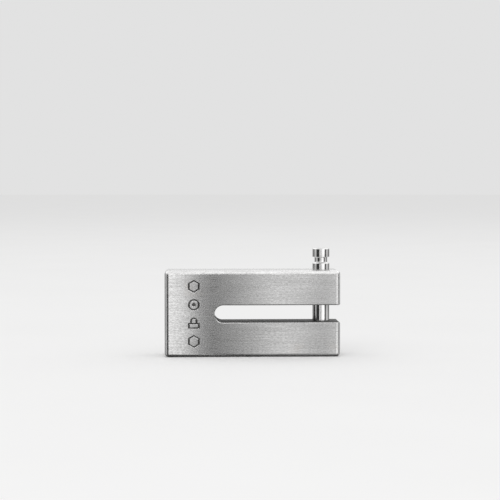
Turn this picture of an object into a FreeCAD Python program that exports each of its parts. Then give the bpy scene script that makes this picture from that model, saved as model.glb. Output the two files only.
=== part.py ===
"""Disc brake lock: a slotted stainless block that a round pin closes.

Frame: +X along the block, towards the open end of the slot. -Y is the plain front face and +Y the
riveted back. +Z is up, out of the head of the pin. The origin is the centre of the underside.
Lengths are in millimetres. The pin is drawn popped up, as its spring leaves it when it is unlocked.
"""

import FreeCAD
import Part

import math
import os

# ---- block ----
BODY_LENGTH = 101.5
BODY_HEIGHT = 50.0
BODY_DEPTH = 25.0
EDGE_RADIUS = 2.3
PLATE_THICKNESS = 3.0
FLOOR_WALL = 3.0
EDGE_BREAK = 0.5

# ---- slot for the brake disc ----
SLOT_WIDTH = 10.0
SLOT_DEPTH = 72.7

# ---- locking pin ----
PIN_DIAMETER = 10.0
PIN_FROM_END = 10.4
PIN_TRAVEL = 12.5
PIN_HEAD_HEIGHT = 5.0
PIN_NECK_HEIGHT = 3.5
PIN_NECK_DEPTH = 1.25
PIN_NECK_FILLET = 0.7
PIN_HEAD_CHAMFER = 0.5
PIN_COLLAR_CHAMFER = 0.4
PIN_TIP_CHAMFER = 1.0
PIN_ENTRY = 1.0
LOWER_BORE_FLOOR = 2.0
DRAIN_DIAMETER = 2.5
RING_SECTION = 1.6
RING_FROM_TOP = 2.3
EJECTOR_DIAMETER = 8.4
EJECTOR_WIRE = 0.8
EJECTOR_TURNS = 5

# ---- key cylinder, set into the back of the upper arm ----
CYLINDER_FROM_PIN = 22.5
CYLINDER_BELOW_TOP = 10.0
SHELL_DIAMETER = 13.0
SHELL_LENGTH = 16.0
SHELL_RECESS = 0.2
SHELL_FLANGE_OVERHANG = 1.0
SHELL_FLANGE_THICKNESS = 2.0
SHELL_LIP_THICKNESS = 1.0
SHELL_LIP_WIDTH = 0.4
ROTOR_DIAMETER = 9.0
ROTOR_WALL = 0.85
FRONT_DISC_THICKNESS = 1.25
DISC_COUNT = 7
DISC_THICKNESS = 1.2
SPACER_THICKNESS = 0.45
DISC_CLEARANCE = 0.05
KEYWAY_LENGTH = 4.8
KEYWAY_WIDTH = 2.4
SIDE_BAR_DIAMETER = 1.5
SEAL_SECTION = 1.2
SEAL_BELOW_FLANGE = 3.0
GUARD_PIN_DIAMETER = 1.3
GUARD_PIN_LENGTH = 6.0
GUARD_PIN_COUNT = 3
DOWEL_DIAMETER = 2.0
DOWEL_LENGTH = 4.0
TAIL_DIAMETER = 5.0
TAIL_SQUARE = 3.4
CLIP_DIAMETER = 11.2
CLIP_THICKNESS = 0.7
CLIP_GROOVE_DEPTH = 0.35
CAM_DIAMETER = 8.8
CAM_THICKNESS = 2.4
CAM_PIN_DIAMETER = 2.0
CAM_PIN_LENGTH = 2.2
CAM_THROW = 3.2
KEY_TURN_DEG = 90.0
CAM_SCREW_DIAMETER = 1.8
CAM_SCREW_LENGTH = 4.0
CAM_SCREW_HEAD_DIAMETER = 3.8
CAM_SCREW_HEAD_HEIGHT = 1.1
CAM_SCREW_SLOT_WIDTH = 0.6
CAM_POCKET_RADIAL_GAP = 0.4
CAM_TO_LATCH_GAP = 0.15

# ---- latch ----
LATCH_NOSE_HEIGHT = 3.2
LATCH_NOSE_WIDTH = 6.0
LATCH_NOSE_LENGTH = 6.1
LATCH_BAR_THICKNESS = 2.2
LATCH_YOKE_BELOW_AXIS = 0.1
LATCH_YOKE_RISE = 5.7
LATCH_TAIL = 5.5
LATCH_PIN_GAP = 0.15
LATCH_SPRING_DIAMETER = 2.2
LATCH_SPRING_WIRE = 0.35
LATCH_SPRING_LENGTH = 9.0
LATCH_SPRING_TURNS = 9

# ---- back plate rivets: distance in from the ends and edges ----
RIVET_DIAMETER = 3.5
RIVET_LENGTH = 8.0
RIVET_FROM_END = 4.4
RIVET_FROM_EDGE = 5.5
RIVET_DISH = 0.3

# ---- sunk marks on the front face ----
MARK_FROM_END = 16.8
MARK_SIZE = 6.8
MARK_STROKE = 1.1
MARK_DEPTH = 0.35
MARK_PITCH = 10.6
MARK_CASE_HEIGHT = 3.6
MARK_BOW_RADIUS = 2.1
MARK_HUB_RADIUS = 1.2

# ---- clearances ----
RUNNING_FIT = 0.08
STATIC_FIT = 0.05
SLIDE_FIT = 0.1
AXIAL_GAP = 0.05
PAST = 1.0  # how far a cutter runs past a face, or a piece runs into the one it joins

# ---- worked out from the sizes above ----
FRONT_Y = -BODY_DEPTH / 2
BACK_Y = BODY_DEPTH / 2
SEAM_Y = BACK_Y - PLATE_THICKNESS
FLOOR_Y = FRONT_Y + FLOOR_WALL
END_X = BODY_LENGTH / 2
SLOT_LOW_Z = (BODY_HEIGHT - SLOT_WIDTH) / 2
SLOT_HIGH_Z = SLOT_LOW_Z + SLOT_WIDTH
SLOT_END_X = END_X - SLOT_DEPTH
PIN_X = END_X - PIN_FROM_END
PIN_RADIUS = PIN_DIAMETER / 2
PIN_BORE_RADIUS = PIN_RADIUS + RUNNING_FIT
PIN_TOP_Z = BODY_HEIGHT + PIN_TRAVEL
PIN_TIP_Z = SLOT_LOW_Z - PIN_ENTRY
NECK_TOP_Z = PIN_TOP_Z - PIN_HEAD_HEIGHT
NECK_LOW_Z = NECK_TOP_Z - PIN_NECK_HEIGHT
LATCH_Z = (NECK_TOP_Z + NECK_LOW_Z) / 2 - PIN_TRAVEL
CYLINDER_X = PIN_X - CYLINDER_FROM_PIN
CYLINDER_Z = BODY_HEIGHT - CYLINDER_BELOW_TOP
SHELL_RADIUS = SHELL_DIAMETER / 2
SHELL_FACE_Y = BACK_Y - SHELL_RECESS
SHELL_REAR_Y = SHELL_FACE_Y - SHELL_LENGTH
FLANGE_RADIUS = SHELL_RADIUS + SHELL_FLANGE_OVERHANG
FLANGE_LOW_Y = SEAM_Y - SHELL_FLANGE_THICKNESS
ROTOR_RADIUS = ROTOR_DIAMETER / 2
ROTOR_BORE_RADIUS = ROTOR_RADIUS - ROTOR_WALL
LIP_RADIUS = ROTOR_RADIUS - SHELL_LIP_WIDTH
FRONT_DISC_Y = SHELL_FACE_Y - SHELL_LIP_THICKNESS - AXIAL_GAP
ROTOR_FRONT_Y = FRONT_DISC_Y - FRONT_DISC_THICKNESS
STACK_LENGTH = DISC_COUNT * DISC_THICKNESS + (DISC_COUNT - 1) * SPACER_THICKNESS
CHAMBER_FLOOR_Y = ROTOR_FRONT_Y - STACK_LENGTH - DISC_CLEARANCE
CLIP_Y = SHELL_REAR_Y - AXIAL_GAP
CAM_BACK_Y = CLIP_Y - CLIP_THICKNESS - AXIAL_GAP
CAM_FRONT_Y = CAM_BACK_Y - CAM_THICKNESS
CAM_HALF_SWING = math.radians(KEY_TURN_DEG / 2)
CAM_STROKE = 2 * CAM_THROW * math.sin(CAM_HALF_SWING)
LATCH_BACK_Y = CAM_FRONT_Y - CAM_TO_LATCH_GAP
LATCH_FRONT_Y = LATCH_BACK_Y - LATCH_BAR_THICKNESS
NOSE_FRONT_X = PIN_X - PIN_RADIUS - LATCH_PIN_GAP
NOSE_BACK_X = NOSE_FRONT_X - LATCH_NOSE_LENGTH
YOKE_LOW_Z = CYLINDER_Z - LATCH_YOKE_BELOW_AXIS
YOKE_HIGH_Z = YOKE_LOW_Z + LATCH_YOKE_RISE
YOKE_TAIL_X = CYLINDER_X - LATCH_TAIL
YOKE_END_X = CYLINDER_X + SHELL_RADIUS + STATIC_FIT
SPRING_END_X = YOKE_TAIL_X - LATCH_SPRING_LENGTH

UP = FreeCAD.Vector(0, 0, 1)
BACK = FreeCAD.Vector(0, 1, 0)
RIGHT = FreeCAD.Vector(1, 0, 0)


def box(x0, x1, y0, y1, z0, z1):
    """A block between two corners."""
    return Part.makeBox(x1 - x0, y1 - y0, z1 - z0, FreeCAD.Vector(x0, y0, z0))


def upright(radius, z0, z1, x=PIN_X, y=0.0):
    """A round bar along Z, on the pin's axis unless told otherwise."""
    return Part.makeCylinder(radius, z1 - z0, FreeCAD.Vector(x, y, z0), UP)


def level(radius, y0, y1, x=CYLINDER_X, z=CYLINDER_Z):
    """A round bar along Y, on the key cylinder's axis unless told otherwise."""
    return Part.makeCylinder(radius, y1 - y0, FreeCAD.Vector(x, y0, z), BACK)


def cone(r_low, r_high, z0, z1):
    """A cone on the pin's axis."""
    return Part.makeCone(r_low, r_high, z1 - z0, FreeCAD.Vector(PIN_X, 0, z0), UP)


def joined(shapes):
    """One solid out of several that touch or cross."""
    first, *others = shapes
    return first.fuse(others).removeSplitter() if others else first


def turned_profile(points):
    """A solid turned about the pin's axis from (radius, height) points."""
    wire = Part.makePolygon([FreeCAD.Vector(PIN_X + r, 0, z) for r, z in points + points[:1]])
    return Part.Face(wire).revolve(FreeCAD.Vector(PIN_X, 0, 0), UP, 360)


def helix_spring(outer_diameter, wire, length, turns):
    """A coil spring along +Z, from height 0 to its length, about the origin."""
    radius = (outer_diameter - wire) / 2
    rise = length - wire
    path = Part.makeHelix(rise / turns, rise, radius)
    section = Part.Wire(Part.makeCircle(wire / 2, FreeCAD.Vector(radius, 0, 0), BACK))
    spring = path.makePipeShell([section], True, True)
    spring.translate(FreeCAD.Vector(0, 0, wire / 2))
    return spring


# ---------------------------------------------------------------- block and plate

def slot_outline(y, grow):
    """The slot's outline in the plane at y, widened by grow all round. It runs out past the end."""
    radius = SLOT_WIDTH / 2 + grow
    centre_x = SLOT_END_X + SLOT_WIDTH / 2
    mid_z = BODY_HEIGHT / 2
    out_x = END_X + SLOT_WIDTH
    low, high = mid_z - radius, mid_z + radius
    arc = Part.Arc(
        FreeCAD.Vector(centre_x, y, high),
        FreeCAD.Vector(centre_x - radius, y, mid_z),
        FreeCAD.Vector(centre_x, y, low),
    )
    bottom = Part.LineSegment(FreeCAD.Vector(centre_x, y, low), FreeCAD.Vector(out_x, y, low))
    end = Part.LineSegment(FreeCAD.Vector(out_x, y, low), FreeCAD.Vector(out_x, y, high))
    top = Part.LineSegment(FreeCAD.Vector(out_x, y, high), FreeCAD.Vector(centre_x, y, high))
    return Part.Wire([piece.toShape() for piece in (arc, bottom, end, top)])


def slot_cutter():
    """The slot through the whole depth, flared where it meets the two faces and the end."""
    through = Part.Face(slot_outline(FRONT_Y - PAST, 0)).extrude(BACK * (BODY_DEPTH + 2 * PAST))
    flares = []
    for face_y, inward in ((FRONT_Y, 1), (BACK_Y, -1)):
        wide = slot_outline(face_y, EDGE_BREAK)
        narrow = slot_outline(face_y + inward * EDGE_BREAK, 0)
        flares.append(Part.makeLoft([wide, narrow], True, True))
    mid_z = BODY_HEIGHT / 2
    mouth = Part.makePolygon([
        FreeCAD.Vector(END_X - EDGE_BREAK, FRONT_Y - PAST, mid_z - SLOT_WIDTH / 2),
        FreeCAD.Vector(END_X + EDGE_BREAK, FRONT_Y - PAST, mid_z - SLOT_WIDTH / 2 - 2 * EDGE_BREAK),
        FreeCAD.Vector(END_X + EDGE_BREAK, FRONT_Y - PAST, mid_z + SLOT_WIDTH / 2 + 2 * EDGE_BREAK),
        FreeCAD.Vector(END_X - EDGE_BREAK, FRONT_Y - PAST, mid_z + SLOT_WIDTH / 2),
        FreeCAD.Vector(END_X - EDGE_BREAK, FRONT_Y - PAST, mid_z - SLOT_WIDTH / 2),
    ])
    flares.append(Part.Face(mouth).extrude(BACK * (BODY_DEPTH + 2 * PAST)))
    return through.fuse(flares)


def rounded_envelope():
    """Block and back plate together, with every outer edge rounded and the slot cut."""
    whole = box(-END_X, END_X, FRONT_Y, BACK_Y, 0, BODY_HEIGHT)
    whole = whole.makeFillet(EDGE_RADIUS, whole.Edges)
    return whole.cut(slot_cutter())


def rivet_places():
    """(x, z) of each rivet: four corners, one behind the slot and one under it."""
    x = END_X - RIVET_FROM_END
    low, high = RIVET_FROM_EDGE, BODY_HEIGHT - RIVET_FROM_EDGE
    behind_slot = (-END_X + (BODY_LENGTH - SLOT_DEPTH) / 2 + RIVET_FROM_EDGE, BODY_HEIGHT / 2)
    under_slot = ((SLOT_END_X + PIN_X) / 2, SLOT_LOW_Z / 2)
    return [(-x, low), (-x, high), (x, low), (x, high), behind_slot, under_slot]


def rivet_holes():
    """The rivets' holes, through the plate and into the block."""
    return [level(RIVET_DIAMETER / 2 + STATIC_FIT, BACK_Y - RIVET_LENGTH - STATIC_FIT, BACK_Y + PAST, x, z)
            for x, z in rivet_places()]


def dowel_place():
    """(x, z) of the dowel that stops the cylinder turning, on the rim of its flange."""
    reach = FLANGE_RADIUS * math.sqrt(0.5)
    return CYLINDER_X - reach, CYLINDER_Z - reach


def cylinder_pocket():
    """The stepped hole from the seam: flange seat, shell bore, then room for the cam."""
    cam_room = CLIP_DIAMETER / 2 + CAM_POCKET_RADIAL_GAP
    x, z = dowel_place()
    return joined([
        level(FLANGE_RADIUS + STATIC_FIT, FLANGE_LOW_Y, SEAM_Y + PAST),
        level(SHELL_RADIUS + STATIC_FIT, SHELL_REAR_Y, SEAM_Y + PAST),
        level(cam_room, FLOOR_Y, SEAM_Y + PAST),
        level(DOWEL_DIAMETER / 2 + STATIC_FIT, SEAM_Y - DOWEL_LENGTH, SEAM_Y + PAST, x, z),
    ])


def nose_channel(gap, y0, y1):
    """The part of the latch's way that the nose runs in, up to the pin."""
    half = LATCH_NOSE_HEIGHT / 2 + gap
    return box(YOKE_END_X - PAST, PIN_X - PIN_RADIUS / 2, y0, y1, LATCH_Z - half, LATCH_Z + half)


def yoke_channel(gap, y0, y1, end_x):
    """Room for the yoke over its whole stroke, as far as end_x."""
    yoke_x = YOKE_TAIL_X - CAM_STROKE - SLIDE_FIT
    return box(yoke_x, end_x, y0, y1, YOKE_LOW_Z - gap, YOKE_HIGH_Z + gap)


def tail_channel(gap, y0, y1):
    """The part of the latch's way behind the cylinder: room for the yoke, then for its spring."""
    half = LATCH_SPRING_DIAMETER / 2 + gap
    yoke = yoke_channel(gap, y0, y1, CYLINDER_X)
    spring = box(SPRING_END_X, yoke.BoundBox.XMin + PAST, y0, y1, LATCH_Z - half, LATCH_Z + half)
    return joined([yoke, spring])


def tapered(near, far):
    """A solid between an outline on the front face and a smaller or larger one at the marks' depth."""
    return Part.makeLoft([near, far], True, True)


def groove(outline):
    """A groove with sloping walls that follows a closed outline. The outline is a function of how far
    in from the mark's edge, and of y."""
    top, floor = FRONT_Y, FRONT_Y + MARK_DEPTH
    outside = tapered(outline(0, top), outline(MARK_DEPTH, floor))
    island = tapered(outline(MARK_STROKE, top), outline(MARK_STROKE - MARK_DEPTH, floor))
    return outside.cut(island)


def circle_outline(x, z, radius):
    """A circle on the front face, for a groove."""
    return lambda inset, y: Part.Wire(Part.makeCircle(radius - inset, FreeCAD.Vector(x, y, z), BACK))


def hexagon_outline(x, z):
    """A hexagon that stands on a corner, its flats the marks' size apart."""
    def outline(inset, y):
        radius = (MARK_SIZE / 2 - inset) / math.cos(math.radians(30))
        turns = [math.radians(60 * k + 30) for k in range(7)]
        return Part.makePolygon([FreeCAD.Vector(x + radius * math.cos(a), y, z + radius * math.sin(a))
                                 for a in turns])
    return outline


def case_outline(x, low):
    """The padlock's case, a rectangle as wide as the marks."""
    def outline(inset, y):
        left, right = x - MARK_SIZE / 2 + inset, x + MARK_SIZE / 2 - inset
        under, over = low + inset, low + MARK_CASE_HEIGHT - inset
        corners = [(left, under), (right, under), (right, over), (left, over), (left, under)]
        return Part.makePolygon([FreeCAD.Vector(px, y, pz) for px, pz in corners])
    return outline


def bow_outline(x, low, high):
    """The padlock's bow, two legs under a half circle."""
    def outline(inset, y):
        radius = MARK_BOW_RADIUS - inset
        left, right, spring_z = x - radius, x + radius, high - MARK_BOW_RADIUS
        corners = [FreeCAD.Vector(px, y, pz) for px, pz in
                   ((right, spring_z), (right, low + inset), (left, low + inset), (left, spring_z))]
        over = Part.Arc(corners[3], FreeCAD.Vector(x, y, high - inset), corners[0])
        legs = [Part.LineSegment(start, end) for start, end in zip(corners, corners[1:])]
        return Part.Wire([piece.toShape() for piece in legs + [over]])
    return outline


def disc_mark(x, z):
    """A brake disc: its rim and its hub."""
    hub = tapered(circle_outline(x, z, MARK_HUB_RADIUS)(0, FRONT_Y),
                  circle_outline(x, z, MARK_HUB_RADIUS)(MARK_DEPTH, FRONT_Y + MARK_DEPTH))
    return [groove(circle_outline(x, z, MARK_SIZE / 2)), hub]


def padlock_mark(x, z):
    """A padlock: its case, and the part of its bow that stands out above it."""
    low, high = z - MARK_SIZE / 2, z + MARK_SIZE / 2
    foot_z = low + MARK_CASE_HEIGHT - MARK_STROKE / 2
    bow = groove(bow_outline(x, low, high)).common(
        box(x - MARK_SIZE, x + MARK_SIZE, FRONT_Y - PAST, SEAM_Y, foot_z, BODY_HEIGHT))
    return [groove(case_outline(x, low)), bow]


def sunk_marks():
    """Four plain outlines down the closed end: a hexagon, a brake disc, a padlock and a hexagon."""
    x = -END_X + MARK_FROM_END
    heights = [BODY_HEIGHT / 2 + MARK_PITCH * (1.5 - n) for n in range(4)]
    hexagons = [groove(hexagon_outline(x, heights[n])) for n in (0, 3)]
    return hexagons + disc_mark(x, heights[1]) + padlock_mark(x, heights[2])


def body_block():
    """The solid block, with all that is bored and milled into it."""
    block = rounded_envelope().common(
        box(-END_X - PAST, END_X + PAST, FRONT_Y - PAST, SEAM_Y, -PAST, BODY_HEIGHT + PAST))
    ring_z = BODY_HEIGHT - RING_FROM_TOP
    ring_room = RING_SECTION / 2 + STATIC_FIT
    groove_radius = PIN_RADIUS + RUNNING_FIT + RING_SECTION
    cuts = [
        upright(PIN_BORE_RADIUS, LOWER_BORE_FLOOR, BODY_HEIGHT + PAST),
        upright(DRAIN_DIAMETER / 2, -PAST, LOWER_BORE_FLOOR + PAST),
        upright(groove_radius, ring_z - ring_room, ring_z + ring_room),
        cone(PIN_BORE_RADIUS, PIN_BORE_RADIUS + EDGE_BREAK * 2, BODY_HEIGHT - EDGE_BREAK,
             BODY_HEIGHT + EDGE_BREAK),
        cylinder_pocket(),
        nose_channel(SLIDE_FIT, FLOOR_Y, SEAM_Y + PAST),
        tail_channel(SLIDE_FIT, FLOOR_Y, SEAM_Y + PAST),
        yoke_channel(SLIDE_FIT, FLOOR_Y, LATCH_BACK_Y + SLIDE_FIT, YOKE_END_X),
    ]
    return block.cut(cuts + rivet_holes() + sunk_marks())


def back_plate():
    """The cover over the mechanism, flush with the block and drilled for rivets and cylinder."""
    plate = rounded_envelope().common(
        box(-END_X - PAST, END_X + PAST, SEAM_Y, BACK_Y + PAST, -PAST, BODY_HEIGHT + PAST))
    hole = level(SHELL_RADIUS + STATIC_FIT, SEAM_Y - PAST, BACK_Y + PAST)
    mouth = Part.makeCone(SHELL_RADIUS + STATIC_FIT, SHELL_RADIUS + STATIC_FIT + EDGE_BREAK * 2,
                          EDGE_BREAK * 2, FreeCAD.Vector(CYLINDER_X, BACK_Y - EDGE_BREAK, CYLINDER_Z), BACK)
    return plate.cut([hole, mouth] + rivet_holes())


def cover_rivets():
    """Pressed rivets, each with a shallow dish in its head."""
    rivets = []
    for x, z in rivet_places():
        shank = level(RIVET_DIAMETER / 2, BACK_Y - RIVET_LENGTH, BACK_Y, x, z)
        dish = level(RIVET_DIAMETER / 4, BACK_Y - RIVET_DISH, BACK_Y + PAST, x, z)
        rivets.append(shank.cut(dish))
    return Part.makeCompound(rivets)


# ---------------------------------------------------------------- pin

def locking_pin():
    """Head, latch groove, collar and shank in one turning. The groove's corners are rounded."""
    neck = PIN_RADIUS - PIN_NECK_DEPTH
    turned = turned_profile([
        (0, PIN_TIP_Z),
        (PIN_RADIUS - PIN_TIP_CHAMFER, PIN_TIP_Z),
        (PIN_RADIUS, PIN_TIP_Z + PIN_TIP_CHAMFER),
        (PIN_RADIUS, NECK_LOW_Z - PIN_COLLAR_CHAMFER),
        (PIN_RADIUS - PIN_COLLAR_CHAMFER, NECK_LOW_Z),
        (neck, NECK_LOW_Z),
        (neck, NECK_TOP_Z),
        (PIN_RADIUS, NECK_TOP_Z),
        (PIN_RADIUS, PIN_TOP_Z - PIN_HEAD_CHAMFER),
        (PIN_RADIUS - PIN_HEAD_CHAMFER, PIN_TOP_Z),
        (0, PIN_TOP_Z),
    ])
    rims = [edge for edge in turned.Edges if isinstance(edge.Curve, Part.Circle)]
    corners = [edge for edge in rims if math.isclose(edge.Curve.Radius, neck)]
    return turned.makeFillet(PIN_NECK_FILLET, corners)


def pin_wiper_ring():
    """The rubber ring near the top of the pin's bore."""
    ring = Part.makeTorus(PIN_RADIUS + RUNNING_FIT / 2 + RING_SECTION / 2, RING_SECTION / 2)
    ring.translate(FreeCAD.Vector(PIN_X, 0, BODY_HEIGHT - RING_FROM_TOP))
    return ring


def ejector_spring():
    """The spring under the pin's tip. It lifts the pin by its travel when the latch lets go."""
    length = PIN_TIP_Z - LOWER_BORE_FLOOR - AXIAL_GAP
    spring = helix_spring(EJECTOR_DIAMETER, EJECTOR_WIRE, length, EJECTOR_TURNS)
    spring.translate(FreeCAD.Vector(PIN_X, 0, LOWER_BORE_FLOOR))
    return spring


# ---------------------------------------------------------------- key cylinder

def keyway(y0, y1):
    """The hole that the key passes: a round hole with two flats."""
    half = KEYWAY_WIDTH / 2
    return level(KEYWAY_LENGTH / 2, y0, y1).common(
        box(CYLINDER_X - half, CYLINDER_X + half, y0, y1, 0, BODY_HEIGHT))


def side_bar_shape(gap):
    """The side bar, in its place in the turning part, grown by a gap."""
    centre_x = CYLINDER_X + ROTOR_RADIUS - STATIC_FIT - SIDE_BAR_DIAMETER / 2
    y0 = CHAMBER_FLOOR_Y + DISC_THICKNESS / 2
    y1 = ROTOR_FRONT_Y - DISC_THICKNESS / 2
    bar = level(SIDE_BAR_DIAMETER / 2 + gap, y0 - gap, y1 + gap, centre_x)
    if gap == 0:
        return bar
    half = SIDE_BAR_DIAMETER / 2 + gap
    outward = box(centre_x, CYLINDER_X + ROTOR_RADIUS + PAST, y0 - gap, y1 + gap,
                  CYLINDER_Z - half, CYLINDER_Z + half)
    return joined([bar, outward])


def guard_pin_places():
    """(x, z) of the hard pins in the cylinder's rim."""
    reach = (SHELL_RADIUS + ROTOR_RADIUS) / 2
    turns = [math.radians(90 + 360 / GUARD_PIN_COUNT * n) for n in range(GUARD_PIN_COUNT)]
    return [(CYLINDER_X + reach * math.cos(a), CYLINDER_Z + reach * math.sin(a)) for a in turns]


def guard_pins():
    """The hard pins that a drill meets, flush with the cylinder's face."""
    low_y = SHELL_FACE_Y - GUARD_PIN_LENGTH
    return Part.makeCompound([level(GUARD_PIN_DIAMETER / 2, low_y, SHELL_FACE_Y, x, z)
                              for x, z in guard_pin_places()])


def cylinder_shell():
    """The fixed part: a tube with a lip at its face, a flange under the plate and a seal groove."""
    bore_radius = ROTOR_RADIUS + RUNNING_FIT
    tube = joined([
        level(SHELL_RADIUS, SHELL_REAR_Y, SHELL_FACE_Y),
        level(FLANGE_RADIUS, FLANGE_LOW_Y, SEAM_Y),
    ])
    seal_y = FLANGE_LOW_Y - SEAL_BELOW_FLANGE
    half = SEAL_SECTION / 2 + STATIC_FIT
    seal_groove = level(SHELL_RADIUS + PAST, seal_y - half, seal_y + half).cut(
        level(SHELL_RADIUS - SEAL_SECTION, seal_y - half, seal_y + half))
    x, z = dowel_place()
    cuts = [
        level(bore_radius, SHELL_REAR_Y - PAST, SHELL_FACE_Y - SHELL_LIP_THICKNESS),
        level(LIP_RADIUS, SHELL_REAR_Y - PAST, SHELL_FACE_Y + PAST),
        seal_groove,
        level(DOWEL_DIAMETER / 2 + STATIC_FIT, FLANGE_LOW_Y - PAST, SEAM_Y + STATIC_FIT, x, z),
    ]
    cuts += [level(GUARD_PIN_DIAMETER / 2 + STATIC_FIT / 2, SHELL_FACE_Y - GUARD_PIN_LENGTH - STATIC_FIT,
                   SHELL_FACE_Y + PAST, px, pz) for px, pz in guard_pin_places()]
    return tube.cut(cuts)


def shell_dowel():
    """The dowel between the flange's rim and the block."""
    x, z = dowel_place()
    return level(DOWEL_DIAMETER / 2, SEAM_Y - DOWEL_LENGTH + STATIC_FIT, SEAM_Y, x, z)


def cylinder_seal():
    """The rubber ring round the shell, under its flange."""
    ring = Part.makeTorus(SHELL_RADIUS - SEAL_SECTION / 2, SEAL_SECTION / 2)
    ring.rotate(FreeCAD.Vector(0, 0, 0), RIGHT, 90)
    ring.translate(FreeCAD.Vector(CYLINDER_X, FLANGE_LOW_Y - SEAL_BELOW_FLANGE, CYLINDER_Z))
    return ring


def cylinder_rotor():
    """The turning barrel: a cup for the discs, with a square tail for the cam."""
    cup = level(ROTOR_RADIUS, SHELL_REAR_Y, ROTOR_FRONT_Y).cut([
        level(ROTOR_BORE_RADIUS, CHAMBER_FLOOR_Y, ROTOR_FRONT_Y + PAST),
        side_bar_shape(STATIC_FIT),
    ])
    tail = level(TAIL_DIAMETER / 2, CAM_BACK_Y, SHELL_REAR_Y)
    clip_groove = level(TAIL_DIAMETER, CLIP_Y - CLIP_THICKNESS, CLIP_Y).cut(
        level(TAIL_DIAMETER / 2 - CLIP_GROOVE_DEPTH, CLIP_Y - CLIP_THICKNESS, CLIP_Y))
    half = TAIL_SQUARE / 2
    square = box(CYLINDER_X - half, CYLINDER_X + half, cam_seat_y(), CAM_BACK_Y,
                 CYLINDER_Z - half, CYLINDER_Z + half)
    thread = level(CAM_SCREW_DIAMETER / 2 + STATIC_FIT, cam_seat_y() - PAST,
                   cam_seat_y() + CAM_SCREW_LENGTH + AXIAL_GAP)
    return joined([cup, tail.cut(clip_groove), square]).cut(thread)


def cam_seat_y():
    """Where the cam screw's head bears, in the counterbore of the cam."""
    return CAM_FRONT_Y + CAM_SCREW_HEAD_HEIGHT + AXIAL_GAP


def front_disc():
    """The hardened disc at the face, with the key's entry."""
    entry = keyway(ROTOR_FRONT_Y - PAST, FRONT_DISC_Y + PAST)
    return level(ROTOR_RADIUS, ROTOR_FRONT_Y, FRONT_DISC_Y).cut(entry)


def stack_places(thickness, first):
    """The y of each disc's inner face, counted inwards from the face of the cylinder."""
    pitch = DISC_THICKNESS + SPACER_THICKNESS
    return [ROTOR_FRONT_Y - first - thickness - pitch * n for n in range(DISC_COUNT)]


def tumbler_discs():
    """The coded discs, turned to the open position so that the side bar lies in their gates."""
    radius = ROTOR_BORE_RADIUS - STATIC_FIT
    gate = side_bar_shape(STATIC_FIT)
    return Part.makeCompound([
        level(radius, y, y + DISC_THICKNESS).cut([keyway(y - PAST, y + DISC_THICKNESS + PAST), gate])
        for y in stack_places(DISC_THICKNESS, 0)])


def disc_spacers():
    """The thin washers between the discs."""
    radius = ROTOR_BORE_RADIUS - STATIC_FIT
    gate = side_bar_shape(STATIC_FIT)
    return Part.makeCompound([
        level(radius, y, y + SPACER_THICKNESS).cut([level(KEYWAY_LENGTH / 2, y - PAST, y + PAST), gate])
        for y in stack_places(SPACER_THICKNESS, DISC_THICKNESS)[:-1]])


def rotor_clip():
    """The open ring that holds the barrel in the shell."""
    inner = TAIL_DIAMETER / 2 - CLIP_GROOVE_DEPTH + STATIC_FIT
    y0, y1 = CLIP_Y - CLIP_THICKNESS, CLIP_Y
    ring = level(CLIP_DIAMETER / 2, y0, y1).cut(level(inner, y0 - PAST, y1 + PAST))
    mouth = box(CYLINDER_X - inner, CYLINDER_X + inner, y0 - PAST, y1 + PAST,
                CYLINDER_Z - CLIP_DIAMETER, CYLINDER_Z)
    return ring.cut(mouth)


def cam_pin_place():
    """(x, z) of the cam's drive pin at rest, above the axis and half the key's turn towards +X."""
    return (CYLINDER_X + CAM_THROW * math.sin(CAM_HALF_SWING),
            CYLINDER_Z + CAM_THROW * math.cos(CAM_HALF_SWING))


def tail_cam():
    """The disc on the barrel's tail, with the drive pin that draws the latch back."""
    x, z = cam_pin_place()
    half = TAIL_SQUARE / 2 + STATIC_FIT
    cam = joined([
        level(CAM_DIAMETER / 2, CAM_FRONT_Y, CAM_BACK_Y),
        level(CAM_PIN_DIAMETER / 2, CAM_FRONT_Y - CAM_PIN_LENGTH, CAM_FRONT_Y + PAST, x, z),
    ])
    return cam.cut([
        box(CYLINDER_X - half, CYLINDER_X + half, cam_seat_y() - AXIAL_GAP, CAM_BACK_Y + PAST,
            CYLINDER_Z - half, CYLINDER_Z + half),
        level(CAM_SCREW_HEAD_DIAMETER / 2 + STATIC_FIT, CAM_FRONT_Y - PAST, cam_seat_y()),
    ])


def cam_screw():
    """The screw that holds the cam, its head sunk in the cam, with a driving slot."""
    seat = cam_seat_y()
    head_low = seat - CAM_SCREW_HEAD_HEIGHT
    screw = joined([
        level(CAM_SCREW_HEAD_DIAMETER / 2, head_low, seat),
        level(CAM_SCREW_DIAMETER / 2, seat, seat + CAM_SCREW_LENGTH),
    ])
    half = CAM_SCREW_SLOT_WIDTH / 2
    slot = box(CYLINDER_X - CAM_SCREW_HEAD_DIAMETER, CYLINDER_X + CAM_SCREW_HEAD_DIAMETER, head_low - PAST,
               head_low + CAM_SCREW_HEAD_HEIGHT / 2, CYLINDER_Z - half, CYLINDER_Z + half)
    return screw.cut(slot)


# ---------------------------------------------------------------- latch

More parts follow.
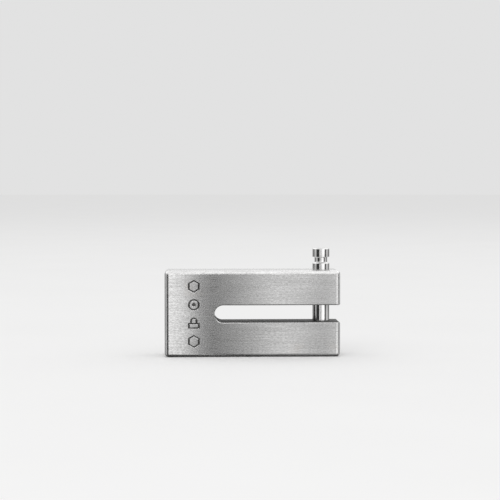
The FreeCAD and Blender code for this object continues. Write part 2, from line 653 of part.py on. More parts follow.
def latch_bolt():
    """The yoke that the cam drives, the bar under the cylinder and the nose that holds the pin."""
    half = LATCH_NOSE_HEIGHT / 2
    pin_x, pin_z = cam_pin_place()
    side = CAM_PIN_DIAMETER / 2 + 2 * SLIDE_FIT
    yoke = box(YOKE_TAIL_X, YOKE_END_X, LATCH_FRONT_Y, LATCH_BACK_Y, YOKE_LOW_Z, YOKE_HIGH_Z)
    bar = box(YOKE_END_X - PAST, NOSE_FRONT_X, LATCH_FRONT_Y, LATCH_BACK_Y, LATCH_Z - half, LATCH_Z + half)
    stem = box(NOSE_BACK_X, NOSE_FRONT_X, LATCH_FRONT_Y, 0, LATCH_Z - half, LATCH_Z + half)
    nose = box(NOSE_BACK_X, NOSE_FRONT_X + PIN_RADIUS / 2, -LATCH_NOSE_WIDTH / 2, LATCH_NOSE_WIDTH / 2,
               LATCH_Z - half, LATCH_Z + half)
    window = box(pin_x - side, pin_x + side, LATCH_FRONT_Y - PAST, LATCH_BACK_Y + PAST,
                 pin_z - side, CYLINDER_Z + CAM_THROW + side)
    hollow = upright(PIN_RADIUS + LATCH_PIN_GAP, 0, BODY_HEIGHT)
    return joined([yoke, bar, stem, nose]).cut([window, hollow])


def latch_spring():
    """The small spring that pushes the latch towards the pin."""
    spring = helix_spring(LATCH_SPRING_DIAMETER, LATCH_SPRING_WIRE, LATCH_SPRING_LENGTH - 2 * AXIAL_GAP,
                          LATCH_SPRING_TURNS)
    spring.rotate(FreeCAD.Vector(0, 0, 0), BACK, 90)
    spring.translate(FreeCAD.Vector(SPRING_END_X + AXIAL_GAP, (LATCH_FRONT_Y + LATCH_BACK_Y) / 2, LATCH_Z))
    return spring


def latch_keeper():
    """The filler over the nose, which keeps the latch down in its channel."""
    way = nose_channel(SLIDE_FIT - STATIC_FIT, LATCH_NOSE_WIDTH / 2 + SLIDE_FIT, SEAM_Y)
    pocket = joined([cylinder_pocket(), upright(PIN_BORE_RADIUS + STATIC_FIT, 0, BODY_HEIGHT)])
    return way.cut(pocket)


def spring_keeper():
    """The filler over the latch's spring and tail, on the other side of the cylinder."""
    way = tail_channel(SLIDE_FIT - STATIC_FIT, LATCH_BACK_Y + SLIDE_FIT, SEAM_Y)
    return way.cut(cylinder_pocket())


NODES = {
    "body_block": body_block,
    "back_plate": back_plate,
    "cover_rivets": cover_rivets,
    "locking_pin": locking_pin,
    "pin_wiper_ring": pin_wiper_ring,
    "ejector_spring": ejector_spring,
    "cylinder_shell": cylinder_shell,
    "shell_dowel": shell_dowel,
    "cylinder_seal": cylinder_seal,
    "guard_pins": guard_pins,
    "cylinder_rotor": cylinder_rotor,
    "front_disc": front_disc,
    "tumbler_discs": tumbler_discs,
    "disc_spacers": disc_spacers,
    "side_bar": lambda: side_bar_shape(0),
    "rotor_clip": rotor_clip,
    "tail_cam": tail_cam,
    "cam_screw": cam_screw,
    "latch_bolt": latch_bolt,
    "latch_spring": latch_spring,
    "latch_keeper": latch_keeper,
    "spring_keeper": spring_keeper,
}

os.makedirs("parts", exist_ok=True)
for node, make in NODES.items():
    make().exportStep(f"parts/{node}.step")
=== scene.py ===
"""Looks of a disc brake lock: brushed stainless block, polished pin and riveted back with its key cylinder.

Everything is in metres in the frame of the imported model: +X towards the open end of the slot, -Y out of
the plain front face, +Z up out of the pin's head. The lock stands on a pale studio floor.
"""

import math

import bmesh
import bpy
from mathutils import Matrix, Vector


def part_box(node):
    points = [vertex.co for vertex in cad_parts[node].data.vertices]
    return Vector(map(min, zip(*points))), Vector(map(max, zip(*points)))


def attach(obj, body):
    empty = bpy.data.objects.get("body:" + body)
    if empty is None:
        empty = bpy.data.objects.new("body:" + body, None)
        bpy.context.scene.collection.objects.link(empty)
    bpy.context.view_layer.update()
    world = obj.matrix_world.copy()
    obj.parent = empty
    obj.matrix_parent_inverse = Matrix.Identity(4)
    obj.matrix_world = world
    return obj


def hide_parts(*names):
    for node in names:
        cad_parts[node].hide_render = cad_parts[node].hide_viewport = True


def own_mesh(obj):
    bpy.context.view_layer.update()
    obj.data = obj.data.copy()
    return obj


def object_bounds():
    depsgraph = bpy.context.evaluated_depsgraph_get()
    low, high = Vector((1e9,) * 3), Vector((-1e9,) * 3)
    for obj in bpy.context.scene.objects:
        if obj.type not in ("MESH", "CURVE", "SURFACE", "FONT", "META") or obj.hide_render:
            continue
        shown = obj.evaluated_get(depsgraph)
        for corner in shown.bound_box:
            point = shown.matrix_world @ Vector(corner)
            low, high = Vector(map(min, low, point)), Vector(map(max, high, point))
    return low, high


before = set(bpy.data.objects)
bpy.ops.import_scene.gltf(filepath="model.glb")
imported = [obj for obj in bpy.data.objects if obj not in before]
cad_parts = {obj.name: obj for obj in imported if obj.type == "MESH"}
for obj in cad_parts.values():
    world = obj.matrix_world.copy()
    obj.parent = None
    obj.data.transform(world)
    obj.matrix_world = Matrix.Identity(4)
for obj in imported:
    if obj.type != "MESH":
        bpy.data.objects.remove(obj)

CAD_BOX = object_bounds()
MM = 0.001

# ---- places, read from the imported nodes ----
BLOCK_LOW, BLOCK_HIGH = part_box("body_block")
PLATE_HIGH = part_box("back_plate")[1]
PIN_LOW, PIN_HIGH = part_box("locking_pin")
EJECTOR_LOW, EJECTOR_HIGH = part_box("ejector_spring")
LATCH_SPRING_LOW, LATCH_SPRING_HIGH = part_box("latch_spring")
FRONT_DISC_LOW, FRONT_DISC_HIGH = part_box("front_disc")
PIN_AXIS = (PIN_LOW + PIN_HIGH) / 2
PLUG_AXIS = (FRONT_DISC_LOW + FRONT_DISC_HIGH) / 2
FRONT_Y = BLOCK_LOW.y
BLOCK_TOP = BLOCK_HIGH.z
HALF_LENGTH = BLOCK_HIGH.x
SLOT_HALF = 5 * MM
SLOT_END_X = HALF_LENGTH - 72.7 * MM
MARKS_FROM_END = (4.5 * MM, 23.5 * MM)
MARKS_EDGE_MARGIN = 3.0 * MM

# ---- springs ----
EJECTOR_WIRE = 0.8 * MM
EJECTOR_TURNS = 6.5
LATCH_WIRE = 0.35 * MM
LATCH_TURNS = 11.0
CLOSED_TURNS = 1.25
POINTS_PER_TURN = 28

# ---- rivets ----
RIVET_CROWN = 0.25 * MM
RIVET_RIM = 0.35 * MM
RIVET_DISH_SHARE = 0.62
DISH_STEPS = 6
RIM_STEPS = 5
TURNING_STEPS = 64

# ---- camera ----
CAMERA_DISTANCE = 1.0
CAMERA_AZIMUTH = math.radians(-2.4)
CAMERA_ELEVATION = math.radians(2.5)
SEEN_WIDTH = 0.2879
SENSOR_WIDTH = 36.0
AIM = Vector((-1.55 * MM, FRONT_Y, 61.96 * MM))

# ---- studio ----
FLOOR_RADIUS = 8.0
SURROUND_GLOW = 0.76
TENT_RADIUS = 0.40
TENT_CENTRE_Z = 0.03
TENT_STEPS_UP = 48
TENT_STEPS_ROUND = 96
# Panels of the tent's wall, as (degrees round from the front, positive to the right, glow).
TENT_PANELS = [
    (-180, 0.85), (-150, 0.85), (-142, 0.30), (-106, 0.30), (-98, 0.50), (-78, 0.85), (-67, 0.85),
    (-60, 0.05), (-18, 0.06), (-12.5, 1.20), (-8, 1.90), (-5.4, 1.50), (-4.2, 0.05), (-1.6, 0.08),
    (0.3, 0.50), (3.2, 0.68), (4.6, 1.15), (8, 1.20), (10.4, 0.45), (11.6, 0.60), (14, 1.30),
    (30, 1.70), (50, 1.70), (54, 0.10), (70, 0.10), (76, 0.85), (102, 0.80), (110, 0.30), (145, 0.30),
    (152, 0.85), (180, 0.85),
]
# Up its side, as (height as a share of the radius, glow, share that covers the panels).
TENT_RISE = [
    (-1.0, 0.05, 1), (-0.75, 0.05, 1), (-0.55, 0.30, 0.5), (-0.35, 0.6, 0), (0.30, 0.9, 0),
    (0.46, 1.7, 1), (0.85, 1.7, 1), (1.0, 1.1, 1),
]


# ================================================================ node trees as expressions

class Value:
    """A number or vector inside a node tree. Arithmetic on it adds Math nodes to the tree."""

    def __init__(self, nodes, socket):
        self.nodes, self.socket = nodes, socket

    def math(self, operation, *others):
        return self.nodes.add("ShaderNodeMath", {"operation": operation}, self, *others)

    def __add__(self, other):
        return self.math("ADD", other)

    def __sub__(self, other):
        return self.math("SUBTRACT", other)

    def __rsub__(self, other):
        return self.nodes.add("ShaderNodeMath", {"operation": "SUBTRACT"}, other, self)

    def __mul__(self, other):
        return self.math("MULTIPLY", other)

    def __truediv__(self, other):
        return self.math("DIVIDE", other)

    def __pow__(self, other):
        return self.math("POWER", other)

    def __abs__(self):
        return self.math("ABSOLUTE")

    __radd__ = __add__
    __rmul__ = __mul__

    def between(self, low, high):
        """0 below low, 1 above high and a smooth rise in between. With low above high it falls."""
        return self.nodes.add("ShaderNodeMapRange", {"interpolation_type": "SMOOTHSTEP"}, self, low, high)

    def largest(self, other):
        return self.math("MAXIMUM", other)

    def smallest(self, other):
        return self.math("MINIMUM", other)


class Nodes:
    """A node tree that is written from Python."""

    def __init__(self, tree):
        self.tree = tree
        tree.nodes.clear()

    def add(self, kind, settings=None, *inputs, out=0, **named):
        """Adds a node, makes its settings, then fills its sockets in order and by name."""
        node = self.tree.nodes.new(kind)
        for key, value in (settings or {}).items():
            if key == "stops":
                self.stops(node.color_ramp, value)
            else:
                setattr(node, key, value)
        for key, value in list(enumerate(inputs)) + list(named.items()):
            if value is not None:
                self.fill(node.inputs[key if isinstance(key, int) else key.replace("_", " ")], value)
        return Value(self, node.outputs[out]) if node.outputs else node

    def fill(self, socket, value):
        if isinstance(value, Value):
            self.tree.links.new(value.socket, socket)
        else:
            socket.default_value = value

    def mix(self, factor, a, b):
        """A colour between a and b."""
        mixed = self.add("ShaderNodeMix", {"data_type": "RGBA"}, factor, out=2)
        self.fill(mixed.socket.node.inputs[6], a)
        self.fill(mixed.socket.node.inputs[7], b)
        return mixed

    def stops(self, ramp, stops):
        """Colour stops of a ramp, as (place, colour)."""
        while len(ramp.elements) > len(stops):
            ramp.elements.remove(ramp.elements[-1])
        while len(ramp.elements) < len(stops):
            ramp.elements.new(0.5)
        for element, (place, colour) in zip(ramp.elements, stops):
            element.position, element.color = place, colour

    def parts(self, vector):
        """The three numbers of a vector."""
        first = self.add("ShaderNodeSeparateXYZ", None, vector)
        return [Value(self, socket) for socket in first.socket.node.outputs]


class Finish(Nodes):
    """One material: a Principled surface, perhaps a second one, and the patterns that feed them."""

    def __init__(self, name, **constants):
        self.material = bpy.data.materials.new(name)
        self.material.use_nodes = True
        super().__init__(self.material.node_tree)
        self.surfaces = [self.principled(constants)]
        self.end = self.tree.nodes.new("ShaderNodeOutputMaterial")
        self.tree.links.new(self.surfaces[0].outputs[0], self.end.inputs[0])
        self.place = self.add("ShaderNodeTexCoord", out="Object")
        self.x, self.y, self.z = self.parts(self.place)
        facing = self.add("ShaderNodeNewGeometry", out="Normal")
        parts = self.parts(facing)
        self.up = parts[2]
        self.nx, self.ny, self.nz = [abs(part) for part in parts]

    def principled(self, constants):
        surface = self.tree.nodes.new("ShaderNodeBsdfPrincipled")
        for key, value in constants.items():
            surface.inputs[key.replace("_", " ")].default_value = value
        return surface

    def also(self, factor, **constants):
        """A second surface with its own constants, which takes over where the factor is 1."""
        self.surfaces.append(self.principled(constants))
        both = [Value(self, surface.outputs[0]) for surface in self.surfaces]
        mixed = self.add("ShaderNodeMixShader", None, factor, *both)
        self.tree.links.new(mixed.socket, self.end.inputs[0])

    def feed(self, socket, value):
        for surface in self.surfaces:
            self.fill(surface.inputs[socket], value)

    def cells(self, per_metre, detail=2.0, roughness=0.5):
        """Noise from 0 to 1 whose grains have their own number per metre along X, Y and Z."""
        moved = self.add("ShaderNodeMapping", None, self.place, Scale=per_metre)
        return self.add("ShaderNodeTexNoise", None, moved, Scale=1.0, Detail=detail, Roughness=roughness)

    def raised(self, height, strength, distance):
        """Feeds the surface's normal from a height."""
        self.feed("Normal", self.add("ShaderNodeBump", None, Strength=strength, Distance=distance,
                                     Height=height))


def grey(level, warmth=0.0):
    """A near-neutral metal colour. Positive warmth leans to yellow, negative to blue."""
    return (level * (1 + warmth), level, level * (1 - warmth), 1.0)


# ================================================================ finishes

def brushed_stainless():
    """Belt-ground stainless: short scratches along X, or along Y on the two ends, a soft cloudiness, worn
    corners with a painted highlight, sunk marks painted dark as shade on their floors and upper walls and
    painted light as a highlight on their lower walls, and a milled slot whose walls are painted near black
    as shade. The upright faces stretch what they mirror up and down, across the scratches; the level ones
    mirror alike all round."""
    f = Finish("brushed_stainless", Metallic=1.0, Anisotropic=1.0, Anisotropic_Rotation=0.25)
    f.also(f.nz.between(0.90, 0.99), Metallic=1.0)
    on_end = f.nx.between(0.75, 0.9)

    def streaks(length, width, detail=0.0):
        """Streaks of the given length and width in millimetres, along X, and along Y on the ends."""
        along, across = 1000 / length, 1000 / width
        flat = f.cells((along, across, across), detail)
        end = f.cells((across, along, across), detail)
        return (flat + (end - flat) * on_end).between(0.30, 0.70)

    fine = streaks(1.7, 0.5, 1.0)
    hairs = streaks(16, 0.28)
    broad = streaks(40, 4.0)
    clouds = f.cells((38, 38, 20), 2.0).between(0.35, 0.65)
    scratch = streaks(9, 0.5).between(0.93, 0.99)
    edge = corner_wear_and_highlight(f)
    sunk = shaded_mark_floor(f)
    slot = dull_shaded_slot_wall(f)

    grain = fine * 0.55 + hairs * 0.33 + broad * 0.12
    colour = f.mix(grain, grey(0.42, 0.008), grey(0.70, 0.004))
    colour = f.mix(clouds * 0.25, colour, grey(0.42, 0.006))
    stain = f.cells((55, 60, 70), 2.0).between(0.62, 0.76) * 0.40
    colour = f.mix(stain, colour, grey(0.50, 0.05))
    # Painted highlight with wear: the rounded corners are painted pale, both as worn metal and as the light
    # they catch.
    colour = f.mix(edge * 0.8, colour, grey(0.92))
    # Painted shade: the floors and down-facing upper walls of the sunk marks are painted near black.
    colour = f.mix(sunk, colour, grey(0.10, 0.02))
    # Painted highlight on the up-facing lower walls of the marks.
    colour = f.mix(lit_lip(f) * 0.7, colour, grey(0.90))
    # Painted shade: the slot walls are painted near black, with less metal below, for the dark inside of the
    # slot.
    colour = f.mix(slot * 0.93, colour, grey(0.05, 0.03))
    f.feed("Base Color", colour)
    f.feed("Metallic", 1 - slot * 0.75)
    f.feed("Roughness", 0.21 + (1 - grain) * 0.08 - edge * 0.08 + sunk * 0.12 + slot * 0.45 - scratch * 0.04)
    f.raised(fine * 0.6 + hairs * 0.4 - scratch * 0.35, 0.18, 0.03 * MM)
    return f.material


def corner_wear_and_highlight(f):
    """1 along the rounded outer corners of the block, broken up as handling leaves them. It stands for wear
    and for a painted highlight on the rounded edges.
    """
    broken = f.cells((160, 400, 400), 3.0).between(0.35, 0.65)
    low, high = BLOCK_LOW, Vector((BLOCK_HIGH.x, PLATE_HIGH.y, BLOCK_HIGH.z))
    middle, half = (low + high) / 2, (high - low) / 2
    worn_and_lit = None
    near = [abs(place - centre).between(extent - 1.5 * MM, extent - 0.2 * MM)
            for place, centre, extent in zip((f.x, f.y, f.z), middle, half)]
    for a, b in ((0, 1), (0, 2), (1, 2)):
        both = near[a] * near[b]
        worn_and_lit = both if worn_and_lit is None else worn_and_lit.largest(both)
    return worn_and_lit * (0.55 + broken * 0.45)


def in_marks(f):
    """1 inside the marks sunk in the front face."""
    depth = f.y - FRONT_Y
    sunk = depth.between(0.02 * MM, 0.06 * MM) * depth.between(0.9 * MM, 0.6 * MM)
    soft = 0.5 * MM
    near, far = MARKS_FROM_END
    reach = BLOCK_TOP / 2 - MARKS_EDGE_MARGIN
    from_end = f.x + HALF_LENGTH
    along = from_end.between(near - soft, near + soft) * from_end.between(far + soft, far - soft)
    up_and_down = abs(f.z - BLOCK_TOP / 2).between(reach + soft, reach - soft)
    return sunk * along * up_and_down


def shaded_mark_floor(f):
    """1 on the floors and upper walls of the marks, which are painted dark as painted shade."""
    return in_marks(f) * f.up.between(0.5, 0.2)


def lit_lip(f):
    """1 on the lower walls of the marks, which face up and get a painted highlight."""
    return in_marks(f) * f.up.between(0.3, 0.6)


def dull_shaded_slot_wall(f):
    """1 on the walls of the disc slot, which are milled and left dull, and painted near black as shade."""
    across = abs(f.z - BLOCK_TOP / 2).between(SLOT_HALF + 0.05 * MM, SLOT_HALF + 0.02 * MM)
    along = (f.x - SLOT_END_X).between(-0.05 * MM, -0.02 * MM)
    return across * along * f.ny.between(0.6, 0.4)


def polished_pin():
    """Ground and polished hard steel: faint rings round the axis and light rub marks along it."""
    f = Finish("polished_pin", Metallic=1.0)
    radius_x, radius_y = f.x - PIN_AXIS.x, f.y - PIN_AXIS.y
    radius = (radius_x * radius_x + radius_y * radius_y) ** 0.5
    on_head = f.nz.between(0.8, 0.95)
    side_rings = f.cells((60, 60, 5200), 2.0)
    turned = f.add("ShaderNodeCombineXYZ", None, radius * 9000, 0.0, 0.0)
    face_rings = f.add("ShaderNodeTexNoise", None, turned, Scale=1.0, Detail=1.0)
    rings = side_rings + (face_rings - side_rings) * on_head
    rub = f.cells((3500, 3500, 90), 1.0).between(0.62, 0.72) * (1 - on_head)
    smudge = f.cells((140, 140, 160), 3.0)
    colour = f.mix(smudge.between(0.3, 0.7), grey(0.52, 0.006), grey(0.64, 0.004))
    colour = f.mix(rub * 0.35, colour, grey(0.42))
    f.feed("Base Color", colour)
    f.feed("Roughness", 0.09 + smudge.between(0.35, 0.75) * 0.06 + rub * 0.10 + on_head * 0.05)
    f.raised(rings + rub * 0.6, 0.18, 0.008 * MM)
    return f.material


def turned_metal(name, axis, dark, light, rough, pitch=0.12):
    """Machined metal with fine rings round the key cylinder's axis and a little handling dirt."""
    f = Finish(name, Metallic=1.0)
    from_x, from_z = f.x - axis.x, f.z - axis.z
    radius = (from_x * from_x + from_z * from_z) ** 0.5
    on_face = f.ny.between(0.8, 0.95)
    spun = f.add("ShaderNodeCombineXYZ", None, radius * (1000 / pitch), f.y * 300, 0.0)
    face_rings = f.add("ShaderNodeTexNoise", None, spun, Scale=1.0, Detail=1.0)
    side_rings = f.cells((120, 1000 / pitch, 120), 1.0)
    rings = side_rings + (face_rings - side_rings) * on_face
    dirt = f.cells((700, 700, 700), 3.0).between(0.5, 0.8)
    colour = f.mix(rings.between(0.3, 0.7), dark, light)
    colour = f.mix(dirt * 0.35, colour, (dark[0] * 0.5, dark[1] * 0.5, dark[2] * 0.5, 1.0))
    f.feed("Base Color", colour)
    f.feed("Roughness", rough + (1 - rings.between(0.3, 0.7)) * 0.08 + dirt * 0.15)
    f.raised(rings, 0.25, 0.01 * MM)
    return f.material


def ground_hard_steel():
    """Dark hardened steel with fine grinding lines and a bluish oil film."""
    f = Finish("ground_hard_steel", Metallic=1.0)
    lines = f.cells((300, 300, 5000), 2.0)
    film = f.cells((250, 250, 250), 3.0)
    colour = f.mix(film.between(0.3, 0.7), grey(0.24, -0.03), grey(0.38, 0.01))
    colour = f.mix(lines.between(0.5, 0.7) * 0.5, colour, grey(0.50))
    f.feed("Base Color", colour)
    f.feed("Roughness", 0.28 + film * 0.16)
    f.raised(lines, 0.25, 0.01 * MM)
    return f.material


def spring_wire():
    """Drawn spring wire: satin grey with dull drawing lines."""
    f = Finish("spring_wire", Metallic=1.0)
    mottle = f.cells((1200, 1200, 1200), 3.0)
    f.feed("Base Color", f.mix(mottle.between(0.3, 0.7), grey(0.40), grey(0.62)))
    f.feed("Roughness", 0.24 + mottle * 0.18)
    f.raised(mottle, 0.2, 0.01 * MM)
    return f.material


def seal_rubber():
    """Black moulded rubber with a dusty bloom."""
    f = Finish("seal_rubber", Metallic=0.0)
    bloom = f.cells((500, 500, 500), 4.0)
    pores = f.cells((5000, 5000, 5000), 1.0)
    f.feed("Base Color", f.mix(bloom.between(0.35, 0.8), grey(0.018), grey(0.060)))
    f.feed("Roughness", 0.55 + bloom * 0.25)
    f.raised(pores, 0.35, 0.02 * MM)
    return f.material


def studio_floor():
    """Pale matt floor with a barely visible mottle."""
    f = Finish("studio_floor", Metallic=0.0, Specular_IOR_Level=0.0)
    mottle = f.cells((8, 8, 8), 3.0)
    f.feed("Base Color", f.mix(mottle, grey(0.95, 0.002), grey(0.98, 0.001)))
    f.feed("Roughness", 0.55 + mottle * 0.1)
    return f.material


# ================================================================ pieces

def plain_mesh(piece):
    """Turns a piece with a Geometry Nodes modifier into the plain mesh that it makes."""
    bpy.context.view_layer.update()
    seen = piece.evaluated_get(bpy.context.evaluated_depsgraph_get())
    mesh = bpy.data.meshes.new_from_object(seen)
    old = piece.data
    piece.modifiers.clear()
    piece.data = mesh
    bpy.data.meshes.remove(old)
    return piece


def spread_with(name, tree, material, **inputs):
    """A new piece whose mesh a Geometry Nodes tree makes from named inputs."""
    piece = bpy.data.objects.new(name, bpy.data.meshes.new(name))
    bpy.context.scene.collection.objects.link(piece)
    modifier = piece.modifiers.new("shape", "NODES")
    modifier.node_group = tree
    sockets = {item.name: item.identifier for item in tree.interface.items_tree}
    for key, value in inputs.items():
        modifier[sockets[key.replace("_", " ")]] = value
    modifier[sockets["Finish"]] = material
    return plain_mesh(piece)


def shape_tree(name, inputs):
    """A Geometry Nodes tree with a mesh output, a Finish input and the given named inputs."""
    tree = bpy.data.node_groups.new(name, "GeometryNodeTree")
    tree.interface.new_socket("Mesh", in_out="OUTPUT", socket_type="NodeSocketGeometry")
    tree.interface.new_socket("Finish", in_out="INPUT", socket_type="NodeSocketMaterial")
    for label, kind in inputs.items():
        tree.interface.new_socket(label, in_out="INPUT", socket_type=kind)
    nodes = Nodes(tree)
    entry = nodes.add("NodeGroupInput").socket.node
    given = {socket.name: Value(nodes, socket) for socket in entry.outputs if socket.name}
    return tree, nodes, given


def finish_tree(nodes, mesh, material):
    """Ends a tree: instances made real, shaded smooth and given their material."""
    real = nodes.add("GeometryNodeRealizeInstances", None, mesh)
    smooth = nodes.add("GeometryNodeSetShadeSmooth", None, real)
    painted = nodes.add("GeometryNodeSetMaterial", None, smooth, Material=material)
    nodes.add("NodeGroupOutput", None, painted)


def coil_tree():
    """A compression spring along +Z from the origin, its end turns closed up."""
    floats = ("Wire Diameter", "Coil Diameter", "Length", "Turns", "Closed Turns")
    kinds = {label: "NodeSocketFloat" for label in floats}
    kinds["Points"] = "NodeSocketInt"
    tree, nodes, given = shape_tree("coil_spring", kinds)
    wire, turns, closed = given["Wire Diameter"], given["Turns"], given["Closed Turns"]
    radius = (given["Coil Diameter"] - wire) / 2
    line = nodes.add("GeometryNodeMeshLine", {"mode": "OFFSET"}, Count=given["Points"])
    share = nodes.add("GeometryNodeInputIndex") / (given["Points"] - 1)
    turn = share * turns
    angle = turn * (2 * math.pi)
    open_share = ((turn - closed) / (turns - closed * 2)).largest(0.0).smallest(1.0)
    low_turns = turn.smallest(closed)
    high_turns = (turn - (turns - closed)).largest(0.0)
    rise = given["Length"] - wire - closed * wire * 2
    height = wire / 2 + (low_turns + high_turns) * wire + open_share * rise
    place = nodes.add("ShaderNodeCombineXYZ", None, angle.math("COSINE") * radius,
                      angle.math("SINE") * radius, height)
    moved = nodes.add("GeometryNodeSetPosition", None, line, Position=place)
    path = nodes.add("GeometryNodeMeshToCurve", None, moved)
    section = nodes.add("GeometryNodeCurvePrimitiveCircle", None, 12, Radius=wire / 2)
    tube = nodes.add("GeometryNodeCurveToMesh", None, path, section, Fill_Caps=True)
    finish_tree(nodes, tube, given["Finish"])
    return tree


def coil_spring(name, tree, material, wire, turns, low, high, axis):
    """A spring that fills a CAD spring's box, along X or Z."""
    size = high - low
    length, across = (size.x, size.z) if axis == "X" else (size.z, size.x)
    piece = spread_with(name, tree, material, Wire_Diameter=wire, Coil_Diameter=across, Length=length,
                        Turns=turns, Closed_Turns=CLOSED_TURNS, Points=int(turns * POINTS_PER_TURN))
    centre = (low + high) / 2
    if axis == "X":
        piece.data.transform(Matrix.Translation((low.x, centre.y, centre.z))
                             @ Matrix.Rotation(math.pi / 2, 4, "Y"))
    else:
        piece.data.transform(Matrix.Translation((centre.x, centre.y, low.z)))
    return piece


def islands(node):
    """The boxes, as (lowest, highest corner), of the separate solids of a CAD node."""
    shape = bmesh.new()
    shape.from_mesh(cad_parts[node].data)
    bmesh.ops.remove_doubles(shape, verts=shape.verts, dist=1e-7)
    boxes, seen = [], set()
    for start in shape.verts:
        if start in seen:
            continue
        group, waiting = [], [start]
        seen.add(start)
        while waiting:
            vertex = waiting.pop()
            group.append(vertex.co.copy())
            for edge in vertex.link_edges:
                other = edge.other_vert(vertex)
                if other not in seen:
                    seen.add(other)
                    waiting.append(other)
        boxes.append((Vector([min(v[k] for v in group) for k in range(3)]),
                      Vector([max(v[k] for v in group) for k in range(3)])))
    shape.free()
    return boxes


def lathe(profile, steps=TURNING_STEPS):
    """A closed mesh turned about Z from (radius, height) points that start and end on the axis."""
    shape = bmesh.new()
    rings = []
    for radius, height in profile:
        if radius == 0:
            rings.append([shape.verts.new((0, 0, height))])
        else:
            turn = 2 * math.pi / steps
            rings.append([shape.verts.new((radius * math.cos(turn * k), radius * math.sin(turn * k), height))
                          for k in range(steps)])
    for lower, upper in zip(rings, rings[1:]):
        for k in range(steps):
            after = (k + 1) % steps
            corners = [lower[k % len(lower)], lower[after % len(lower)],
                       upper[after % len(upper)], upper[k % len(upper)]]
            shape.faces.new(list(dict.fromkeys(corners)))
    bmesh.ops.recalc_face_normals(shape, faces=shape.faces)
    mesh = bpy.data.meshes.new("turned")
    shape.to_mesh(mesh)
    shape.free()
    return mesh


def rivet_tree():
    """A rivet at each point of a mesh of places."""
    kinds = {"Places": "NodeSocketObject", "Rivet": "NodeSocketObject"}
    tree, nodes, given = shape_tree("rivets", kinds)
    places = nodes.add("GeometryNodeObjectInfo", None, given["Places"], out="Geometry")
    rivet = nodes.add("GeometryNodeObjectInfo", None, given["Rivet"], out="Geometry")
    points = nodes.add("GeometryNodeMeshToPoints", None, places)
    spread = nodes.add("GeometryNodeInstanceOnPoints", None, points, Instance=rivet)
    finish_tree(nodes, spread, given["Finish"])
    return tree


def helper(name, mesh):
    """An object that only feeds a Geometry Nodes tree, removed once the piece is made."""
    made = bpy.data.objects.new(name, mesh)
    bpy.context.scene.collection.objects.link(made)
    return made


def cover_rivets(material):
    """The pressed rivets of the back: a shank, a softly rounded rim and a dished, orbitally formed head."""
    boxes = islands("cover_rivets")
    low, high = boxes[0]
    radius, length = (high.x - low.x) / 2, high.y - low.y
    dish = [(radius * RIVET_DISH_SHARE * math.sin(t), -RIVET_CROWN * math.cos(t))
            for t in [math.pi / 2 * k / DISH_STEPS for k in range(DISH_STEPS + 1)]]
    rim = [(radius - RIVET_RIM + RIVET_RIM * math.sin(t), -RIVET_RIM + RIVET_RIM * math.cos(t))
           for t in [math.pi / 2 * k / RIM_STEPS for k in range(RIM_STEPS + 1)]]
    profile = dish + rim + [(radius, -length + RIVET_RIM), (radius - RIVET_RIM, -length), (0, -length)]
    turned = lathe(profile)
    turned.transform(Matrix.Rotation(-math.pi / 2, 4, "X"))
    dots = bpy.data.meshes.new("rivet_places")
    dots.from_pydata([((a.x + b.x) / 2, b.y, (a.z + b.z) / 2) for a, b in boxes], [], [])
    sources = [helper("rivet_places", dots), helper("rivet_shape", turned)]
    piece = spread_with("riveted_heads", rivet_tree(), material, Places=sources[0], Rivet=sources[1])
    for source in sources:
        mesh = source.data
        bpy.data.objects.remove(source)
        bpy.data.meshes.remove(mesh)
    return piece


def paint(node, material):
    """Gives a CAD node its finish."""
    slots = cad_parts[node].data.materials
    slots.clear()
    slots.append(material)


# ================================================================ studio

def softbox(name, place, aim, width, height, power):
    """A rectangular soft light that faces a point. It lights the set, and the tent is what metal mirrors."""
    light = bpy.data.lights.new(name, "AREA")
    light.shape, light.size, light.size_y = "RECTANGLE", width, height
    light.energy = power
    lamp = bpy.data.objects.new(name, light)
    lamp.location = place
    lamp.rotation_euler = (Vector(aim) - Vector(place)).to_track_quat("-Z", "Y").to_euler()
    lamp.visible_camera = False
    lamp.visible_glossy = False
    bpy.context.scene.collection.objects.link(lamp)


def tent_cloth():
    """The tent's glow: light and dark panels round its wall, a bright roof and a dark bottom."""
    cloth = bpy.data.materials.new("tent_cloth")
    cloth.use_nodes = True
    cloth.cycles.emission_sampling = "NONE"
    nodes = Nodes(cloth.node_tree)
    x, y, z = nodes.parts(nodes.add("ShaderNodeTexCoord", out="Object"))
    turn = x.math("ARCTAN2", y * -1) / (2 * math.pi) + 0.5
    height = ((z - TENT_CENTRE_Z) / TENT_RADIUS + 1) / 2
    round_stops = [(0.5 + degrees / 360, grey(glow)) for degrees, glow in TENT_PANELS]
    glow_stops = [((share + 1) / 2, grey(glow)) for share, glow, _ in TENT_RISE]
    cover_stops = [((share + 1) / 2, grey(cover)) for share, _, cover in TENT_RISE]
    wall = nodes.add("ShaderNodeValToRGB", {"stops": round_stops}, turn)
    rise = nodes.add("ShaderNodeValToRGB", {"stops": glow_stops}, height)
    cover = nodes.add("ShaderNodeValToRGB", {"stops": cover_stops}, height)
    shine = nodes.add("ShaderNodeEmission", None, nodes.mix(cover, wall, rise))
    end = nodes.tree.nodes.new("ShaderNodeOutputMaterial")
    nodes.tree.links.new(shine.socket, end.inputs[0])
    return cloth


def light_tent():
    """A round tent of light cloth about the lock, seen only in what glossy surfaces mirror."""
    arc = [math.pi * (k / TENT_STEPS_UP - 0.5) for k in range(TENT_STEPS_UP + 1)]
    outline = [(TENT_RADIUS * math.cos(t), TENT_CENTRE_Z + TENT_RADIUS * math.sin(t)) for t in arc]
    globe = lathe([(0, outline[0][1])] + outline[1:-1] + [(0, outline[-1][1])], TENT_STEPS_ROUND)
    tent = bpy.data.objects.new("light_tent", globe)
    bpy.context.scene.collection.objects.link(tent)
    globe.materials.append(tent_cloth())
    for kind in ("camera", "diffuse", "transmission", "volume_scatter", "shadow"):
        setattr(tent, "visible_" + kind, False)


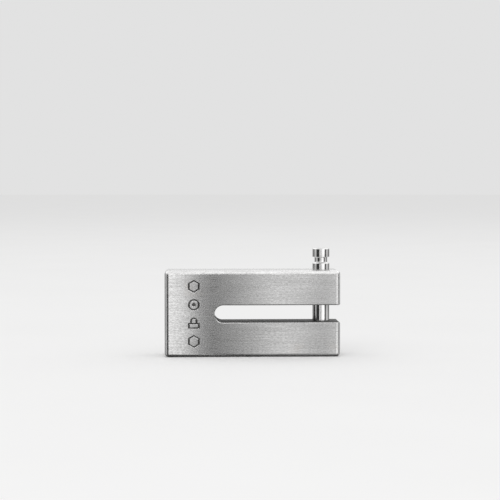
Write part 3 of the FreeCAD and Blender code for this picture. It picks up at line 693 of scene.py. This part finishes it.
def studio():
    """Pale floor, soft surround, softboxes above and in front, and the light tent."""
    centre = (CAD_BOX[0] + CAD_BOX[1]) / 2
    bpy.ops.mesh.primitive_circle_add(vertices=TENT_STEPS_ROUND, radius=FLOOR_RADIUS,
                                      fill_type="NGON", location=(0, 0, CAD_BOX[0].z))
    floor = bpy.context.object
    floor.name = "floor"
    floor.data.materials.append(studio_floor())
    floor.visible_glossy = False

    world = bpy.data.worlds.new("soft_surround")
    world.use_nodes = True
    bpy.context.scene.world = world
    sky = Nodes(world.node_tree)
    shell = sky.add("ShaderNodeBackground", None, grey(1.0), SURROUND_GLOW)
    end = sky.tree.nodes.new("ShaderNodeOutputWorld")
    sky.tree.links.new(shell.socket, end.inputs[0])

    softbox("overhead_softbox", (0.0, 0.3, 2.2), centre, 3.0, 3.0, 8)
    softbox("front_softbox", (-0.5, -1.6, 1.2), centre, 1.0, 0.8, 4)
    light_tent()
    bpy.context.scene.view_settings.view_transform = "Standard"


def camera():
    """The camera, a little above the lock and a little to its left."""
    back = Vector((math.sin(CAMERA_AZIMUTH) * math.cos(CAMERA_ELEVATION),
                   -math.cos(CAMERA_AZIMUTH) * math.cos(CAMERA_ELEVATION),
                   math.sin(CAMERA_ELEVATION)))
    data = bpy.data.cameras.new("camera")
    data.sensor_width = SENSOR_WIDTH
    data.lens = SENSOR_WIDTH * CAMERA_DISTANCE / SEEN_WIDTH
    eye = bpy.data.objects.new("camera", data)
    eye.location = AIM + back * CAMERA_DISTANCE
    eye.rotation_euler = (-back).to_track_quat("-Z", "Y").to_euler()
    bpy.context.scene.collection.objects.link(eye)
    bpy.context.scene.camera = eye


# ================================================================ putting it together

stainless = brushed_stainless()
pin_steel = polished_pin()
brass = turned_metal("cylinder_brass", PLUG_AXIS, (0.42, 0.30, 0.12, 1), (0.66, 0.50, 0.24, 1), 0.22)
nickel = turned_metal("cylinder_nickel", PLUG_AXIS, grey(0.52, 0.02), grey(0.70, 0.02), 0.16)
hard_steel = ground_hard_steel()
wire_steel = spring_wire()
rubber = seal_rubber()

FINISHES = {
    "body_block": stainless, "back_plate": stainless, "locking_pin": pin_steel,
    "pin_wiper_ring": rubber, "cylinder_seal": rubber,
    "cylinder_shell": nickel, "cylinder_rotor": brass, "tumbler_discs": brass,
    "front_disc": hard_steel, "guard_pins": hard_steel, "shell_dowel": hard_steel, "side_bar": hard_steel,
    "tail_cam": hard_steel, "cam_screw": hard_steel, "latch_bolt": hard_steel,
    "latch_keeper": hard_steel, "spring_keeper": hard_steel,
    "disc_spacers": wire_steel, "rotor_clip": wire_steel,
    "ejector_spring": wire_steel, "latch_spring": wire_steel, "cover_rivets": stainless,
}
for node, material in FINISHES.items():
    paint(node, material)

coils = coil_tree()
ejector = coil_spring("ejector_coil", coils, wire_steel, EJECTOR_WIRE, EJECTOR_TURNS,
                      EJECTOR_LOW, EJECTOR_HIGH, "Z")
latch_coil = coil_spring("latch_coil", coils, wire_steel, LATCH_WIRE, LATCH_TURNS,
                         LATCH_SPRING_LOW, LATCH_SPRING_HIGH, "X")
rivets = cover_rivets(stainless)
for piece, node, slot in ((ejector, "ejector_spring", "spring_steel"),
                          (latch_coil, "latch_spring", "spring_steel"),
                          (rivets, "cover_rivets", "brushed_stainless")):
    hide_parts(node)
    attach(piece, "lock_body")
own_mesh(latch_coil)

studio()
camera()
